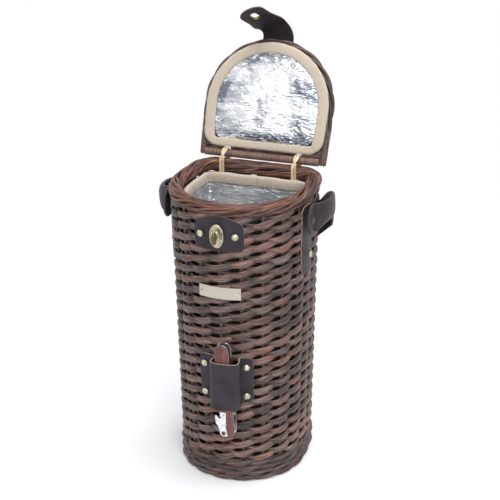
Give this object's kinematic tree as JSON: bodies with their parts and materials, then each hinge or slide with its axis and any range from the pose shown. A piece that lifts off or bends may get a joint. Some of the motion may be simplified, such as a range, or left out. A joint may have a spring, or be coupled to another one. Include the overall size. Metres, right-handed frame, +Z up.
{
  "type": "wine bottle basket",
  "caption": "Dark willow wine bottle basket with a foil cool bag, open lid on cane loops, leather latch strap, carry strap and a sleeved corkscrew.",
  "frame": {"origin": "centre of the underside, on the floor", "axes": "+Z up, -Y towards the front with the lock, +X towards the right side as seen from the front"},
  "size_m": [0.199, 0.2279, 0.5145],
  "materials": {
    "willow": "satin",
    "straw_cane": "satin",
    "silver_foil": "glossy",
    "beige_cloth": "matte",
    "dark_leather": "satin",
    "antique_brass": "satin",
    "polished_steel": "glossy",
    "red_wood": "satin"
  },
  "bodies": {
    "basket": {"foot_wale": "willow", "base_weave": "willow", "wall_weave": "willow", "rim_border": "willow", "hinge_loop_left": "straw_cane", "hinge_loop_right": "straw_cane", "liner_bag": "silver_foil", "liner_hem": "beige_cloth", "latch_plate": "dark_leather", "corkscrew_sleeve": "dark_leather", "strap_tab_left": "dark_leather", "strap_tab_right": "dark_leather", "latch_rivet_left": "antique_brass", "latch_rivet_right": "antique_brass", "turn_lock_plate": "antique_brass", "nameplate": "antique_brass", "nameplate_pin_left": "antique_brass", "nameplate_pin_right": "antique_brass", "sleeve_rivet_upper_left": "antique_brass", "sleeve_rivet_upper_right": "antique_brass", "sleeve_rivet_lower_left": "antique_brass", "sleeve_rivet_lower_right": "antique_brass", "strap_tab_rivet_left": "antique_brass", "strap_tab_rivet_right": "antique_brass", "strap_stud_left": "antique_brass", "strap_stud_right": "antique_brass"},
    "lid": {"lid_hoop": "willow", "lid_hinge_bar": "willow", "lid_weave": "willow", "lid_hem": "beige_cloth", "lid_pad": "silver_foil", "latch_strap_tab": "dark_leather", "tab_rivet_left": "antique_brass", "tab_rivet_right": "antique_brass"},
    "latch_strap": {"latch_strap": "dark_leather", "strap_eyelet": "antique_brass"},
    "turn_knob": {"turn_knob": "antique_brass"},
    "carry_strap": {"carry_strap": "dark_leather"},
    "corkscrew": {"corkscrew_channel": "polished_steel", "corkscrew_scale_front": "red_wood", "corkscrew_scale_back": "red_wood", "corkscrew_worm": "polished_steel", "corkscrew_blade": "polished_steel", "corkscrew_pin_lever": "polished_steel", "corkscrew_pin_worm": "polished_steel", "corkscrew_pin_blade": "polished_steel"},
    "corkscrew_lever": {"corkscrew_lever": "polished_steel"}
  },
  "joints": [
    {"name": "lid_hinge", "type": "hinge", "parent": "basket", "child": "lid", "pos_m": [0, 0.072, 0.346], "axis": [1, 0, 0], "range_deg": [0, 113]},
    {"name": "latch_strap_flex", "type": "hinge", "parent": "lid", "child": "latch_strap", "pos_m": [0, 0.13345, 0.46723], "axis": [0.2372, 0.9642, -0.1182], "range_deg": [0, 31.56]},
    {"name": "turn_lock", "type": "hinge", "parent": "basket", "child": "turn_knob", "pos_m": [0, -0.07548, 0.306], "axis": [0, -1, 0], "range_deg": [0, 90]},
    {"name": "carry_strap_swing", "type": "hinge", "parent": "basket", "child": "carry_strap", "pos_m": [0, -0.007, 0.309], "axis": [1, 0, 0], "range_deg": [0, 28]},
    {"name": "corkscrew_slide", "type": "slide", "parent": "basket", "child": "corkscrew", "axis": [-0.0523, -0.0182, 0.9985], "range_m": [0, 0.103]},
    {"name": "corkscrew_lever_fold", "type": "hinge", "parent": "corkscrew", "child": "corkscrew_lever", "pos_m": [0.00675, -0.0709, 0.07126], "axis": [0.001, -0.9998, -0.0182], "range_deg": [0, 90]}
  ]
}
